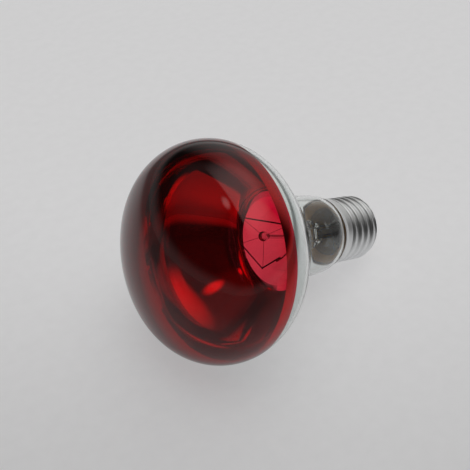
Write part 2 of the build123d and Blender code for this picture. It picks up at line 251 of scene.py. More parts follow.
def lamp_point(depth, radius, turn):
    """A point of the lamp, by its depth, its distance from the axis and its turn about it."""
    return (DOME_TOP + AXIS * depth + (UPWARD * cos(turn) + SIDEWAYS * sin(turn)) * radius) * MM


def mount_point(place, depth):
    """A place across the filament mount, taken to a depth."""
    return (DOME_TOP + MOUNT_X * place[0] + MOUNT_Y * place[1] + AXIS * depth) * MM


def arc(centre, radius, start, end, step=1.5):
    """Points along an arc, about one for each step of degrees."""
    count = max(2, round(abs(degrees(end - start)) / step))
    angles = [start + (end - start) * i / count for i in range(count + 1)]
    return [(centre[0] + radius * cos(a), centre[1] + radius * sin(a)) for a in angles]


def rounded(corners, bends, step=3.0):
    """A line through corners, each inner corner rounded to its bend."""
    line = [tuple(corners[0])]
    for before, corner, after, bend in zip(corners, corners[1:], corners[2:], bends):
        towards = (Vector(before) - Vector(corner)).normalized()
        onwards = (Vector(after) - Vector(corner)).normalized()
        half = towards.angle(onwards) / 2
        centre = Vector(corner) + (towards + onwards).normalized() * (bend / sin(half))
        first = Vector(corner) + towards * (bend / tan(half)) - centre
        last = Vector(corner) + onwards * (bend / tan(half)) - centre
        sweep = pi - 2 * half
        count = max(2, round(degrees(sweep) / step))
        for i in range(count + 1):
            share = sweep * i / count
            line.append(tuple(centre + (first * sin(sweep - share) + last * sin(share)) / sin(sweep)))
    return line + [tuple(corners[-1])]


def divided(line, longest):
    """A line with its long runs divided, so that a turned mesh has even faces."""
    points = [line[0]]
    for start, end in zip(line, line[1:]):
        parts = max(1, round(hypot(end[0] - start[0], end[1] - start[1]) / longest))
        points += [tuple(a + (b - a) * i / parts for a, b in zip(start, end)) for i in range(1, parts + 1)]
    return points


def inset_line(corners, inset):
    """Corners of a falling line moved towards the axis by the inset."""
    runs = []
    for (depth_1, radius_1), (depth_2, radius_2) in zip(corners, corners[1:]):
        slope = atan2(radius_1 - radius_2, depth_2 - depth_1)
        runs.append((depth_1 - inset * sin(slope), radius_1 - inset * cos(slope), slope))
    moved = [runs[0][:2]]
    for (depth_1, radius_1, slope_1), (depth_2, radius_2, slope_2) in zip(runs, runs[1:]):
        fall_1, fall_2 = tan(slope_1), tan(slope_2)
        depth = (radius_2 - radius_1 + fall_2 * depth_2 - fall_1 * depth_1) / (fall_2 - fall_1)
        moved.append((depth, radius_1 - fall_1 * (depth - depth_1)))
    depth, radius, slope = runs[-1]
    return moved + [(corners[-1][0], radius - tan(slope) * (corners[-1][0] - depth))]


def bulb_line(inset):
    """The bulb's wall from the dome's top to the seal, moved inwards by the inset."""
    join = atan2(SHOULDER_RING, WIDEST_DEPTH - DOME_RADIUS)
    line = arc((DOME_RADIUS, 0.0), DOME_RADIUS - inset, pi, join, 0.7)
    meet = pi / 2 - SHOULDER_SLOPE
    line += arc((WIDEST_DEPTH, SHOULDER_RING), SHOULDER_RADIUS - inset, join, meet, 1.5)[1:]
    line += arc(BOWL_CENTRE, BOWL_CURVE - inset, meet, pi / 2 - BOWL_SLOPE, 0.4)[1:]
    bends = (THROAT_RADIUS + inset, NECK_END_RADIUS - inset)
    return line + divided(rounded(inset_line(BULB_CORNERS, inset), bends), 1.5)[1:]


def between(line, start, end):
    """The part of a line between two depths, cut square at both."""
    kept = []
    for (depth_1, radius_1), (depth_2, radius_2) in zip(line, line[1:]):
        if start <= depth_1 <= end:
            kept.append((depth_1, radius_1))
        for cut in (start, end):
            if depth_1 < cut < depth_2:
                share = (cut - depth_1) / (depth_2 - depth_1)
                kept.append((cut, radius_1 + (radius_2 - radius_1) * share))
    return kept + [line[-1]] * (start <= line[-1][0] <= end)


def piece_from(name, points, faces, material, sharp=40.0):
    """A smooth mesh object, with its edges kept sharp above an angle."""
    mesh = bpy.data.meshes.new(name)
    mesh.from_pydata(points, [], faces)
    mesh.shade_smooth()
    mesh.set_sharp_from_angle(angle=radians(sharp))
    mesh.materials.append(material)
    piece = bpy.data.objects.new(name, mesh)
    bpy.context.scene.collection.objects.link(piece)
    return piece


def turned(name, line, material, closed=False, segments=SEGMENTS, sharp=40.0, place=lamp_point):
    """A piece turned from a line of depths and radii, about the lamp's axis or another."""
    points, faces, rings = [], [], []
    for depth, radius in line:
        first = len(points)
        if radius < 1e-6:
            points.append(place(depth, 0.0, 0.0))
            rings.append([first] * segments)
        else:
            points += [place(depth, radius, 2 * pi * i / segments) for i in range(segments)]
            rings.append(list(range(first, first + segments)))
    if closed:
        rings.append(rings[0])
    for ring, following in zip(rings, rings[1:]):
        for i in range(segments):
            j = (i + 1) % segments
            corners = tuple(dict.fromkeys((ring[i], following[i], following[j], ring[j])))
            if len(corners) > 2:
                faces.append(corners)
    return piece_from(name, points, faces, material, sharp)


def wire(name, path, radius, material, sides=8):
    """A round wire along a path of points, with flat ends."""
    points, faces = [], []
    runs = [(b - a).normalized() for a, b in zip(path, path[1:])]
    along = [runs[0]] + [(a + b).normalized() for a, b in zip(runs, runs[1:])] + [runs[-1]]
    side = along[0].orthogonal().normalized()
    for place, direction in zip(path, along):
        side = (side - direction * side.dot(direction)).normalized()
        other = direction.cross(side)
        turns = [2 * pi * i / sides for i in range(sides)]
        points += [place + (side * cos(t) + other * sin(t)) * radius * MM for t in turns]
    for row in range(len(path) - 1):
        for i in range(sides):
            j = (i + 1) % sides
            a, b = row * sides, (row + 1) * sides
            faces.append((a + i, a + j, b + j, b + i))
    faces.append(tuple(reversed(range(sides))))
    faces.append(tuple(range(len(points) - sides, len(points))))
    return piece_from(name, points, faces, material)


def settle(piece, slot, *nodes):
    """Joins a piece to the lamp in place of its CAD nodes."""
    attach(piece, "root")
    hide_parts(*nodes)
    return piece


# Materials. A pattern's scale is 1000 over its size in millimetres, because textures count in metres.

# Soda-lime glass, blown in a turning mould: clear, with a faint grey-green cast. The wall swells and
# thins in slow waves about 14 mm long, which bend what is seen through it.
clear_glass, tree = bare_material("blown_soda_lime_glass")
place = node(tree, "ShaderNodeTexCoord")
waves = node(tree, "ShaderNodeTexNoise", inputs={
    "Vector": place.outputs["Object"], "Scale": 1000 / 14, "Detail": 1.0})
cast = node(tree, "ShaderNodeValToRGB", {
    "stops": ((0.3, "#f6faf8"), (0.7, "#fbfdfc"))}, {"Fac": waves.outputs[0]})
swell = node(tree, "ShaderNodeBump", inputs={"Height": waves.outputs[0], "Distance": 0.00003})
shader = node(tree, "ShaderNodeBsdfPrincipled", inputs={
    "Base Color": cast.outputs[0], "Roughness": 0.0, "IOR": 1.5, "Transmission Weight": 1.0,
    "Normal": swell.outputs[0]})
node(tree, "ShaderNodeOutputMaterial", inputs={"Surface": shader.outputs[0]})

# Transparent red lacquer, dipped on the glass and drained to one side: a deep red filter with a wet
# gloss, thin on the drained side and thick on the other, and deeper where it is seen at a slant. Runs
# about 7 mm wide follow the dome down, and a soft orange peel of about 2.5 mm lies over all.
red_lacquer, tree = bare_material("dipped_red_lacquer")
place = node(tree, "ShaderNodeTexCoord")
split = node(tree, "ShaderNodeSeparateXYZ", inputs={0: place.outputs["Object"]})
squared = node(tree, "ShaderNodeVectorRotate", {"rotation_type": "Y_AXIS"}, {
    "Vector": place.outputs["Object"], "Angle": -REST_TILT})
drawn = node(tree, "ShaderNodeVectorMath", {"operation": "MULTIPLY"}, {
    0: squared.outputs[0], 1: (0.3, 1.0, 0.6)})
runs = node(tree, "ShaderNodeTexNoise", inputs={
    "Vector": drawn.outputs[0], "Scale": 1000 / 7, "Detail": 2.0})
uneven = node(tree, "ShaderNodeMath", {"operation": "MULTIPLY_ADD"}, {
    0: runs.outputs[0], 1: LACQUER_RUN, 2: split.outputs["Y"]})
across = node(tree, "ShaderNodeMapRange", inputs={
    "Value": uneven.outputs[0], "From Min": LACQUER_THIN_SIDE, "From Max": LACQUER_THICK_SIDE})
facing = node(tree, "ShaderNodeLayerWeight", inputs={"Blend": 0.5})
slanted = node(tree, "ShaderNodeMath", {"operation": "POWER"}, {0: facing.outputs["Facing"], 1: 1.5})
depth = node(tree, "ShaderNodeMath", {"operation": "MULTIPLY_ADD"}, {
    0: slanted.outputs[0], 1: LACQUER_SLANT, 2: across.outputs[0]})
tint = node(tree, "ShaderNodeValToRGB", {"stops": (
    (0.0, "#ff0c1a"), (0.19, "#ec0005"), (0.44, "#c80001"), (0.69, "#940000"), (1.0, "#340000"))},
    {"Fac": depth.outputs[0]})
peel = node(tree, "ShaderNodeTexNoise", inputs={
    "Vector": place.outputs["Object"], "Scale": 1000 / 2.5, "Detail": 0.0})
skin = node(tree, "ShaderNodeBump", inputs={"Height": peel.outputs[0], "Distance": 0.0000012})
shader = node(tree, "ShaderNodeBsdfPrincipled", inputs={
    "Base Color": tint.outputs[0], "Roughness": 0.0, "IOR": 1.5, "Transmission Weight": 1.0,
    "Normal": skin.outputs[0]})
node(tree, "ShaderNodeOutputMaterial", inputs={"Surface": shader.outputs[0]})

# Aluminium laid down from vapour on the glass: a bright mirror that follows the glass's waves, with
# a thin haze in clouds about 10 mm wide where the film is uneven.
mirror_film, tree = bare_material("vapour_aluminium_mirror")
place = node(tree, "ShaderNodeTexCoord")
waves = node(tree, "ShaderNodeTexNoise", inputs={
    "Vector": place.outputs["Object"], "Scale": 1000 / 14, "Detail": 1.0})
clouds = node(tree, "ShaderNodeTexNoise", inputs={
    "Vector": place.outputs["Object"], "Scale": 1000 / 10, "Detail": 3.0})
haze = node(tree, "ShaderNodeMapRange", inputs={
    "Value": clouds.outputs[0], "From Min": 0.3, "From Max": 0.7, "To Min": 0.015, "To Max": 0.06})
film = node(tree, "ShaderNodeValToRGB", {
    "stops": ((0.3, "#e5e7e8"), (0.7, "#eceeee"))}, {"Fac": clouds.outputs[0]})
swell = node(tree, "ShaderNodeBump", inputs={"Height": waves.outputs[0], "Distance": 0.00003})
shader = node(tree, "ShaderNodeBsdfPrincipled", inputs={
    "Base Color": film.outputs[0], "Metallic": 1.0, "Roughness": haze.outputs[0],
    "Normal": swell.outputs[0]})
node(tree, "ShaderNodeOutputMaterial", inputs={"Surface": shader.outputs[0]})

# Aluminium sheet, drawn and rolled: satin. The rollers leave marks round the cap, drawn here 0.25 mm
# apart, coarser than the real 0.05 mm, and handling leaves duller patches about 5 mm wide.
cap_sheet, tree = bare_material("rolled_aluminium_sheet")
place = node(tree, "ShaderNodeTexCoord")
along = node(tree, "ShaderNodeVectorMath", {"operation": "DOT_PRODUCT"}, {
    0: place.outputs["Object"], 1: tuple(AXIS)})
marks = node(tree, "ShaderNodeTexNoise", {"noise_dimensions": "1D"}, {
    "W": along.outputs["Value"], "Scale": 1000 / 0.25, "Detail": 2.0})
patches = node(tree, "ShaderNodeTexNoise", inputs={
    "Vector": place.outputs["Object"], "Scale": 1000 / 5, "Detail": 3.0})
satin = node(tree, "ShaderNodeMapRange", inputs={
    "Value": patches.outputs[0], "From Min": 0.3, "From Max": 0.7, "To Min": 0.27, "To Max": 0.38})
metal = node(tree, "ShaderNodeValToRGB", {
    "stops": ((0.25, "#dedfe0"), (0.75, "#eff0f0"))}, {"Fac": marks.outputs[0]})
grooves = node(tree, "ShaderNodeBump", inputs={"Height": marks.outputs[0], "Distance": 0.00001})
shader = node(tree, "ShaderNodeBsdfPrincipled", inputs={
    "Base Color": metal.outputs[0], "Metallic": 1.0, "Roughness": satin.outputs[0],
    "Normal": grooves.outputs[0]})
node(tree, "ShaderNodeOutputMaterial", inputs={"Surface": shader.outputs[0]})

# Basing cement, a paste of stone powder and resin baked hard: dull ochre, with grains and pores of
# about 0.4 mm, darker where it was baked most, and a thin gloss from the glass that it sticks to.
cement, tree = bare_material("baked_basing_cement")
place = node(tree, "ShaderNodeTexCoord")
grains = node(tree, "ShaderNodeTexNoise", inputs={
    "Vector": place.outputs["Object"], "Scale": 1000 / 0.4, "Detail": 3.0})
baked = node(tree, "ShaderNodeTexNoise", inputs={
    "Vector": place.outputs["Object"], "Scale": 1000 / 6, "Detail": 2.0})
mixed = node(tree, "ShaderNodeMath", {"operation": "MULTIPLY_ADD"}, {
    0: baked.outputs[0], 1: 0.6, 2: grains.outputs[0]})
paste = node(tree, "ShaderNodeValToRGB", {
    "stops": ((0.4, "#a4761c"), (0.75, "#c69226"), (1.0, "#daab3c"))}, {"Fac": mixed.outputs[0]})
pores = node(tree, "ShaderNodeBump", inputs={"Height": grains.outputs[0], "Distance": 0.0001})
shader = node(tree, "ShaderNodeBsdfPrincipled", inputs={
    "Base Color": paste.outputs[0], "Roughness": 0.85, "Normal": pores.outputs[0],
    "Coat Weight": 0.1, "Coat Roughness": 0.03, "Coat IOR": 1.5})
node(tree, "ShaderNodeOutputMaterial", inputs={"Surface": shader.outputs[0]})

# Dark glass, poured and pressed hot into the shell: opaque and glossy, with a pressed skin that
# ripples over about 2 mm and cloudy patches.
dark_glass, tree = bare_material("pressed_dark_glass")
place = node(tree, "ShaderNodeTexCoord")
ripples = node(tree, "ShaderNodeTexNoise", inputs={
    "Vector": place.outputs["Object"], "Scale": 1000 / 2, "Detail": 2.0})
clouds = node(tree, "ShaderNodeValToRGB", {
    "stops": ((0.35, "#121217"), (0.7, "#24242b"))}, {"Fac": ripples.outputs[0]})
gloss = node(tree, "ShaderNodeMapRange", inputs={
    "Value": ripples.outputs[0], "From Min": 0.3, "From Max": 0.7, "To Min": 0.08, "To Max": 0.22})
pressed = node(tree, "ShaderNodeBump", inputs={"Height": ripples.outputs[0], "Distance": 0.00006})
shader = node(tree, "ShaderNodeBsdfPrincipled", inputs={
    "Base Color": clouds.outputs[0], "Roughness": gloss.outputs[0], "IOR": 1.52,
    "Normal": pressed.outputs[0]})
node(tree, "ShaderNodeOutputMaterial", inputs={"Surface": shader.outputs[0]})

# Brass sheet, stamped: satin yellow, with brown tarnish in patches of about 3 mm.
contact_brass, tree = bare_material("stamped_brass")
place = node(tree, "ShaderNodeTexCoord")
tarnish = node(tree, "ShaderNodeTexNoise", inputs={
    "Vector": place.outputs["Object"], "Scale": 1000 / 3, "Detail": 4.0})
metal = node(tree, "ShaderNodeValToRGB", {
    "stops": ((0.35, "#a8874a"), (0.6, "#d9b96a"))}, {"Fac": tarnish.outputs[0]})
satin = node(tree, "ShaderNodeMapRange", inputs={
    "Value": tarnish.outputs[0], "From Min": 0.3, "From Max": 0.7, "To Min": 0.42, "To Max": 0.25})
stamped = node(tree, "ShaderNodeBump", inputs={"Height": tarnish.outputs[0], "Distance": 0.00002})
shader = node(tree, "ShaderNodeBsdfPrincipled", inputs={
    "Base Color": metal.outputs[0], "Metallic": 1.0, "Roughness": satin.outputs[0],
    "Normal": stamped.outputs[0]})
node(tree, "ShaderNodeOutputMaterial", inputs={"Surface": shader.outputs[0]})

# Soft solder, set from a drop: grey and bright where it ran smooth, frosted in grains of about
# 0.6 mm where it set slowly.
solder, tree = bare_material("soft_solder")
place = node(tree, "ShaderNodeTexCoord")
frost = node(tree, "ShaderNodeTexNoise", inputs={
    "Vector": place.outputs["Object"], "Scale": 1000 / 0.6, "Detail": 3.0})
metal = node(tree, "ShaderNodeValToRGB", {
    "stops": ((0.35, "#a6a7a8"), (0.65, "#cdcecd"))}, {"Fac": frost.outputs[0]})
dull = node(tree, "ShaderNodeMapRange", inputs={
    "Value": frost.outputs[0], "From Min": 0.3, "From Max": 0.7, "To Min": 0.5, "To Max": 0.25})
grain = node(tree, "ShaderNodeBump", inputs={"Height": frost.outputs[0], "Distance": 0.00003})
shader = node(tree, "ShaderNodeBsdfPrincipled", inputs={
    "Base Color": metal.outputs[0], "Metallic": 1.0, "Roughness": dull.outputs[0],
    "Normal": grain.outputs[0]})
node(tree, "ShaderNodeOutputMaterial", inputs={"Surface": shader.outputs[0]})

# Nickel-plated wire, drawn: warm grey and bright, with die marks along it and spots of oxide about
# 0.5 mm wide.
lead_wire, tree = bare_material("drawn_nickel_wire")
place = node(tree, "ShaderNodeTexCoord")
squared = node(tree, "ShaderNodeVectorRotate", {"rotation_type": "Y_AXIS"}, {
    "Vector": place.outputs["Object"], "Angle": -REST_TILT})
drawn = node(tree, "ShaderNodeVectorMath", {"operation": "MULTIPLY"}, {
    0: squared.outputs[0], 1: (0.15, 1.0, 1.0)})
marks = node(tree, "ShaderNodeTexNoise", inputs={
    "Vector": drawn.outputs[0], "Scale": 1000 / 0.5, "Detail": 2.0})
metal = node(tree, "ShaderNodeValToRGB", {
    "stops": ((0.3, "#948c82"), (0.7, "#bfb9b0"))}, {"Fac": marks.outputs[0]})
satin = node(tree, "ShaderNodeMapRange", inputs={
    "Value": marks.outputs[0], "From Min": 0.3, "From Max": 0.7, "To Min": 0.42, "To Max": 0.24})
shader = node(tree, "ShaderNodeBsdfPrincipled", inputs={
    "Base Color": metal.outputs[0], "Metallic": 1.0, "Roughness": satin.outputs[0]})
node(tree, "ShaderNodeOutputMaterial", inputs={"Surface": shader.outputs[0]})

# Molybdenum wire, drawn fine and heated: dark grey satin, with oxide in patches of about 0.8 mm.
support_wire, tree = bare_material("drawn_molybdenum_wire")
place = node(tree, "ShaderNodeTexCoord")
oxide = node(tree, "ShaderNodeTexNoise", inputs={
    "Vector": place.outputs["Object"], "Scale": 1000 / 0.8, "Detail": 2.0})
metal = node(tree, "ShaderNodeValToRGB", {
    "stops": ((0.35, "#6f6f73"), (0.65, "#96969a"))}, {"Fac": oxide.outputs[0]})
satin = node(tree, "ShaderNodeMapRange", inputs={
    "Value": oxide.outputs[0], "From Min": 0.3, "From Max": 0.7, "To Min": 0.45, "To Max": 0.28})
shader = node(tree, "ShaderNodeBsdfPrincipled", inputs={
    "Base Color": metal.outputs[0], "Metallic": 1.0, "Roughness": satin.outputs[0]})
node(tree, "ShaderNodeOutputMaterial", inputs={"Surface": shader.outputs[0]})

# Tungsten wire, coiled and burnt in: dark grey, with crystal patches of about 0.3 mm.
tungsten, tree = bare_material("coiled_tungsten_wire")
place = node(tree, "ShaderNodeTexCoord")
crystals = node(tree, "ShaderNodeTexNoise", inputs={
    "Vector": place.outputs["Object"], "Scale": 1000 / 0.3, "Detail": 2.0})
metal = node(tree, "ShaderNodeValToRGB", {
    "stops": ((0.35, "#55555a"), (0.65, "#7c7c82"))}, {"Fac": crystals.outputs[0]})
satin = node(tree, "ShaderNodeMapRange", inputs={
    "Value": crystals.outputs[0], "From Min": 0.3, "From Max": 0.7, "To Min": 0.5, "To Max": 0.32})
shader = node(tree, "ShaderNodeBsdfPrincipled", inputs={
    "Base Color": metal.outputs[0], "Metallic": 1.0, "Roughness": satin.outputs[0]})
node(tree, "ShaderNodeOutputMaterial", inputs={"Surface": shader.outputs[0]})

# Bulb: the wall is one piece of glass. Under the lacquer it has no outer face of its own,
# because lacquer and glass bend light alike and only their outer face shows. In the cap it ends at
# the cement, which is stuck to it and takes over its gloss.
outside = bulb_line(0.0)
inside = bulb_line(GLASS_WALL)
bulb_wall = between(outside, LACQUER_END, CEMENT_START) + between(inside, -1.0, CEMENT_START)[::-1]
settle(turned("bulb_glass", bulb_wall, clear_glass), "clear_glass", "glass_envelope")

lacquer_line = between(bulb_line(-LACQUER_FILM), -1.0, LACQUER_END)
lacquer_line += between(outside, LACQUER_END, SEAL_DEPTH)[:1]
settle(turned("lacquer_skin", lacquer_line, red_lacquer), "red_lacquer", "red_lacquer")

mirror_back = between(bulb_line(GLASS_WALL + MIRROR_GAP), MIRROR_START, MIRROR_END)
mirror_face = between(bulb_line(GLASS_WALL + MIRROR_FILM), MIRROR_START, MIRROR_END)
mirror = turned("mirror_skin", mirror_back + mirror_face[::-1], mirror_film, closed=True)
settle(mirror, "mirror_film", "mirror_coating")


def ridge_radius(depth, turn):
    """Radius of the rolled thread at a depth and a turn: round crests and roots of one radius."""
    flank = 2 * atan(2 * (CREST_RADIUS - ROOT_RADIUS) / THREAD_PITCH)
    rounding = THREAD_PITCH / 4 / sin(flank)
    crest = LAST_CREST - THREAD_PITCH * (turn + pi) / (2 * pi)
    offset = abs((depth - crest + THREAD_PITCH / 2) % THREAD_PITCH - THREAD_PITCH / 2)
    if offset < THREAD_PITCH / 4:
        radius = CREST_RADIUS - rounding + sqrt(rounding**2 - offset**2)
    else:
        radius = ROOT_RADIUS + rounding - sqrt(rounding**2 - (THREAD_PITCH / 2 - offset) ** 2)
    runout = (depth - RUNOUT_START) / (SHELL_END - RUNOUT_START)
    return min(radius, CREST_RADIUS - (CREST_RADIUS - CORE_RADIUS) * max(0.0, runout))


cap_line = divided(rounded(SHELL_CORNERS, SHELL_BENDS, 6.0), 0.13)
cap_hollow = [(depth, radius - CAP_SHEET - HOLLOW_GAP) for depth, radius in cap_line]


def screw_cap_shell():
    """The cap's shell of rolled sheet, with the thread drawn into it and a rounded lip."""
    bend = CAP_SHEET / 2
    turns = [pi * i / LIP_STEPS for i in range(LIP_STEPS, 0, -1)]
    rows = [(LIP_DEPTH - sin(t) * bend, LIP_RADIUS, (1 - cos(t)) * bend) for t in turns]
    rows += [(depth, radius, 0.0) for depth, radius in cap_line]
    rows += [(depth, radius, CAP_SHEET) for depth, radius in cap_line[::-3]]
    points, faces = [], []
    for depth, radius, drop in rows:
        for i in range(CAP_SEGMENTS):
            turn = 2 * pi * i / CAP_SEGMENTS
            outer = radius
            if COLLAR_END - 0.5 < depth < SHELL_END:
                ridge = ridge_radius(depth, turn)
                near = max(ROOT_FILL_REACH - abs(radius - ridge), 0.0) / ROOT_FILL_REACH
                outer = max(radius, ridge) + near**2 * ROOT_FILL * (depth > COLLAR_END)
            points.append(lamp_point(depth, outer - drop, turn))
    for row in range(len(rows)):
        a, b = row * CAP_SEGMENTS, (row + 1) % len(rows) * CAP_SEGMENTS
        for i in range(CAP_SEGMENTS):
            j = (i + 1) % CAP_SEGMENTS
            faces.append((a + i, b + i, b + j, a + j))
    return piece_from("screw_cap_shell", points, faces, cap_sheet)


settle(screw_cap_shell(), "cap_aluminium", "screw_shell")

# Cement between the shell and the neck's end, up to the glass's inner face, with the film that ran
# down the shell before it was baked
cement_line = between(cap_hollow, CEMENT_START + SEAM, CEMENT_END)
film_line = between(cap_hollow, COLLAR_END, CEMENT_END)
cement_line += [(depth, radius - CEMENT_FILM) for depth, radius in film_line[::-1]]
cement_line += [(COLLAR_END, SEAL_RADIUS + SEAM), (SEAL_DEPTH - SEAM, SEAL_RADIUS + SEAM)]
cement_line += between(inside, CEMENT_START + SEAM, SEAL_DEPTH - SEAM)[::-1]
settle(turned("cement_ring", cement_line, cement, closed=True), "cement", "cap_cement")

# Insulator: pressed into the turned-in end of the shell, with a rounded nose
nose_corners = [(NOSE_START, cap_hollow[-1][1]), (NOSE_DEPTH, NOSE_RADIUS), (NOSE_DEPTH, EYELET_RADIUS)]
nose = rounded(nose_corners, (NOSE_BEND,), 8.0)
insulator_line = [(INSULATOR_START, EYELET_RADIUS)] + between(cap_hollow, INSULATOR_START, SHELL_TIP) + nose
settle(turned("insulator_plug", insulator_line, dark_glass, closed=True), "dark_glass", "insulator")

# Centre contact: a stamped plate with its eyelet
plate_back = NOSE_DEPTH + CONTACT_GAP
plate = rounded([(plate_back, EYELET_RADIUS), (plate_back, CONTACT_RADIUS),
                 (CONTACT_DEPTH, CONTACT_RADIUS), (CONTACT_DEPTH, EYELET_BORE)], CONTACT_EDGES, 15.0)
contact_line = [(EYELET_START, EYELET_BORE), (EYELET_START, EYELET_RADIUS - CONTACT_GAP)] + plate
settle(turned("contact_plate", contact_line, contact_brass, closed=True), "contact_brass", "centre_contact")


def solder_drop():
    """Solder on the eyelet, set a little out of round, with its top off the middle."""
    ball = (DROP_HEIGHT**2 + DROP_RADIUS**2) / (2 * DROP_HEIGHT)
    rows, segments = 14, 48
    points, faces = [lamp_point(CONTACT_DEPTH + DROP_HEIGHT, 0.0, 0.0)], []
    for row in range(1, rows + 1):
        share = row / rows
        for i in range(segments):
            turn = 2 * pi * i / segments
            width = DROP_RADIUS * share
            rise = sqrt(ball**2 - width**2) - (ball - DROP_HEIGHT)
            uneven = 1 - 0.05 * share * (1 + sin(2 * turn + 0.7)) - 0.03 * share * (1 + sin(3 * turn))
            dent = 0.08 * sin(turn + 2.0) * share * (1 - share)
            points.append(lamp_point(CONTACT_DEPTH + max(rise + dent, 0.0), width * uneven, turn))
    for i in range(segments):
        j = (i + 1) % segments
        faces.append((0, 1 + i, 1 + j))
        for row in range(rows - 1):
            a, b = 1 + row * segments, 1 + (row + 1) * segments
            faces.append((a + i, b + i, b + j, a + j))
    faces.append(tuple(range(len(points) - 1, len(points) - 1 - segments, -1)))
    return piece_from("solder_drop", points, faces, solder)


settle(solder_drop(), "solder", "contact_solder")


def pressed_ring(depth, width, thickness, segments):
    """A ring of the stem: round where its width and thickness are alike, and else flat with round ends."""
    ring = []
    for i in range(segments):
        turn = 2 * pi * i / segments
        across, along = abs(cos(turn)), abs(sin(turn))
        flat = width - thickness
        if along * thickness <= across * flat:
            reach = thickness / across
        else:
            reach = flat * along + sqrt(max(thickness**2 - (flat * across) ** 2, 0.0))
        ring.append(mount_point((reach * cos(turn), reach * sin(turn)), depth))
    return ring


def stem():
    """The stem: a press with softened edges, drawn round into the tube, and a flare to the seal."""
    segments = 96
    shapes = []
    for a in (pi / 2, 3 * pi / 8, pi / 4, pi / 8, 0.0):
        edge = PRESS_EDGE * (1 - cos(a))
        shapes.append((PRESS_DEPTH + PRESS_EDGE * (1 - sin(a)), PRESS_WIDTH - edge, PRESS_THICKNESS - edge))
    shapes += [(PRESS_DEPTH + run, PRESS_WIDTH, PRESS_THICKNESS) for run in PRESS_RUN]
    blend_start = PRESS_BASE - PRESS_BLEND
    steps = 12
    for i in range(steps + 1):
        share = i / steps
        soft = share * share * (3 - 2 * share)
        shapes.append((blend_start + (STEM_TUBE_START - blend_start) * share,
                       PRESS_WIDTH + (STEM_RADIUS - PRESS_WIDTH) * soft,
                       PRESS_THICKNESS + (STEM_RADIUS - PRESS_THICKNESS) * soft))
    flare = [(STEM_TUBE_START, STEM_RADIUS), (FLARE_BEND_DEPTH, STEM_RADIUS), (SEAL_DEPTH, FLARE_MOUTH)]
    outer = divided(rounded(flare, (FLARE_BEND,), 6.0), 0.7)[1:]
    rim = [(SEAL_DEPTH + SEAM, FLARE_MOUTH), (SEAL_DEPTH + SEAM, SEAL_RADIUS - FLARE_RIM),
           (SEAL_DEPTH + 0.4 * FLARE_SEAT, SEAL_RADIUS - SEAM),
           (SEAL_DEPTH + FLARE_SEAT, SEAL_RADIUS - FLARE_RIM)]
    inner = divided(rounded(inset_line(flare, STEM_WALL), (FLARE_BEND + STEM_WALL,), 6.0), 0.7)[::-1]
    shapes += [(depth, radius, radius) for depth, radius in outer[:-1] + rim + inner]
    bore = STEM_RADIUS - STEM_WALL
    for a in (0.4, 0.8, 1.2, 1.5):
        shapes.append((STEM_TUBE_START - STEM_DOME * sin(a), bore * cos(a), bore * cos(a)))
    points, faces = [], []
    for depth, width, thickness in shapes:
        points += pressed_ring(depth, width, thickness, segments)
    for row in range(len(shapes) - 1):
        a, b = row * segments, (row + 1) * segments
        for i in range(segments):
            j = (i + 1) % segments
            faces.append((a + i, a + j, b + j, b + i))
    faces.append(tuple(reversed(range(segments))))
    faces.append(tuple(range(len(points) - segments, len(points))))
    return piece_from("stem_glass", points, faces, clear_glass, 50.0)


settle(stem(), "clear_glass", "glass_stem")

# Exhaust tube: drawn, and melted shut at its tip
exhaust_line = [(STEM_TUBE_START + SEAM, EXHAUST_BORE), (STEM_TUBE_START + SEAM, EXHAUST_RADIUS)]
exhaust_line += arc((EXHAUST_END, 0.0), EXHAUST_RADIUS, pi / 2, 0.0, 9.0)
exhaust_line += arc((EXHAUST_END, 0.0), EXHAUST_BORE, 0.0, pi / 2, 9.0)
exhaust_line = [(depth, radius if radius > 1e-6 else 0.0) for depth, radius in exhaust_line]
exhaust_glass = turned("exhaust_glass", exhaust_line, clear_glass, closed=True, segments=48)
settle(exhaust_glass, "clear_glass", "exhaust_tube")


def rod_and_bead():
    """The glass rod on the press, melted into a bead at its end."""
    foot, centre = mount_point((0.0, 0.0), PRESS_DEPTH), mount_point(BEAD_PLACE, SUPPORT_DEPTH)
    reach = (centre - foot).length / MM
    along = (centre - foot).normalized()
    side = along.orthogonal().normalized()
    other = along.cross(side)

    def rod_point(depth, radius, turn):
        return foot + (along * depth + (side * cos(turn) + other * sin(turn)) * radius) * MM

    offset = ROD_RADIUS + BEAD_FILLET
    neck = sqrt((BEAD_RADIUS + BEAD_FILLET) ** 2 - offset**2)
    join = atan2(offset, -neck)
    line = [(ROD_START, 0.0), (ROD_START, ROD_RADIUS)]
    line += arc((reach - neck, offset), BEAD_FILLET, -pi / 2, join - pi, 8.0)
    line += arc((reach, 0.0), BEAD_RADIUS, join, 0.0, 6.0)[1:-1] + [(reach + BEAD_RADIUS, 0.0)]
    return turned("rod_and_bead", divided(line, 0.8), clear_glass, segments=64, place=rod_point)


settle(rod_and_bead(), "clear_glass", "mount_rod")


def clamp_run(end, hook):
    """Both ends of a lead's clamp, which lies outside the filament's last run and along it."""
    run = (Vector(hook) - Vector(end)).normalized()
    outwards = Vector((run.y, -run.x))
    if outwards.dot(Vector(end)) < 0:
        outwards = -outwards
    start = Vector(end) + outwards * CLAMP_OFFSET - run * CLAMP_OVERHANG
    tip = start + run * (CLAMP_OVERHANG + CLAMP_LENGTH)
    return [mount_point(tip, FILAMENT_DEPTH), mount_point(start, FILAMENT_DEPTH)]


